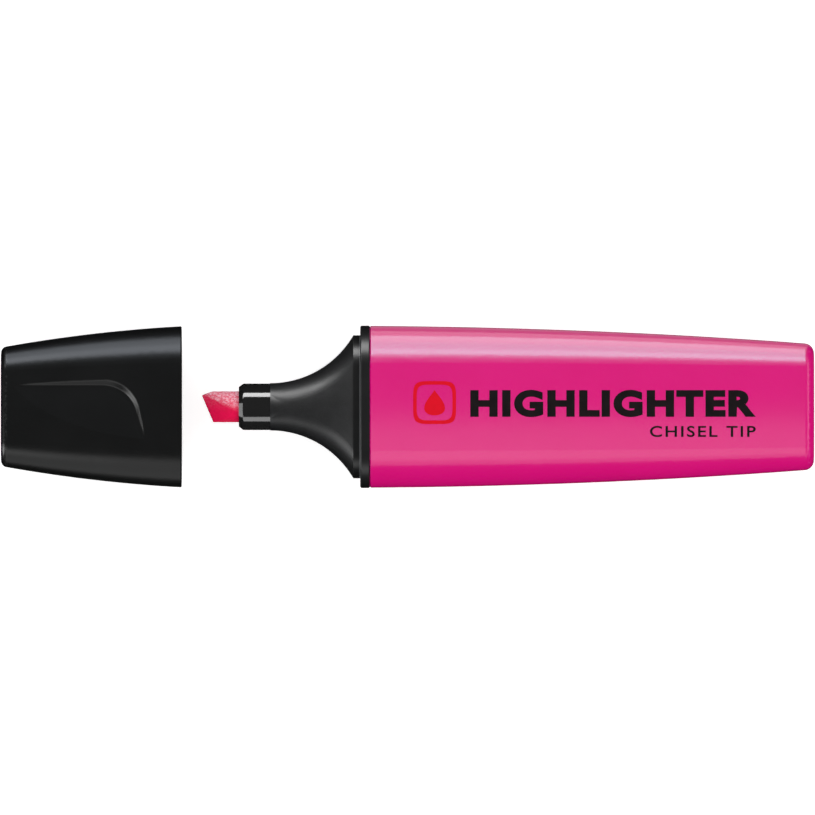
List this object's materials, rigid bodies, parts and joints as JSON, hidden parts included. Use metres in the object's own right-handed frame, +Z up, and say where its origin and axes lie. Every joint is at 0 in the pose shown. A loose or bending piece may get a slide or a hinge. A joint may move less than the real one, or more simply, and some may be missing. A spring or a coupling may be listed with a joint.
{
  "type": "highlighter pen",
  "caption": "Flat-bodied chisel-tip highlighter with a tapered closed-end barrel, a flared front section, a fibre nib and a push-on cap that has a thumb recess on each broad face.",
  "frame": {"origin": "centre of the flat tail face, on the pen's axis", "axes": "+X along the pen from the nib to the tail, +Y across the broad faces, +Z up through the thickness; the pen lies on a broad face with its cap off, ahead of the nib"},
  "size_m": [0.1346, 0.0268, 0.017],
  "materials": {
    "pink_plastic": "satin",
    "black_matte_plastic": "matte",
    "black_gloss_plastic": "gloss",
    "black_cap_plastic": "satin",
    "nib_fibre": "matte",
    "reservoir_fibre": "matte",
    "clear_film": "gloss",
    "natural_plastic": "satin"
  },
  "bodies": {
    "pen": {"barrel": "pink_plastic", "front_section": "black_matte_plastic", "nib_ferrule": "black_gloss_plastic", "nib": "nib_fibre", "reservoir": "reservoir_fibre", "reservoir_sleeve": "clear_film"},
    "cap": {"cap": "black_cap_plastic", "inner_cap": "natural_plastic"}
  },
  "joints": [
    {"name": "cap_slide", "type": "slide", "parent": "pen", "child": "cap", "axis": [1, 0, 0], "range_m": [0, 0.02955]}
  ]
}
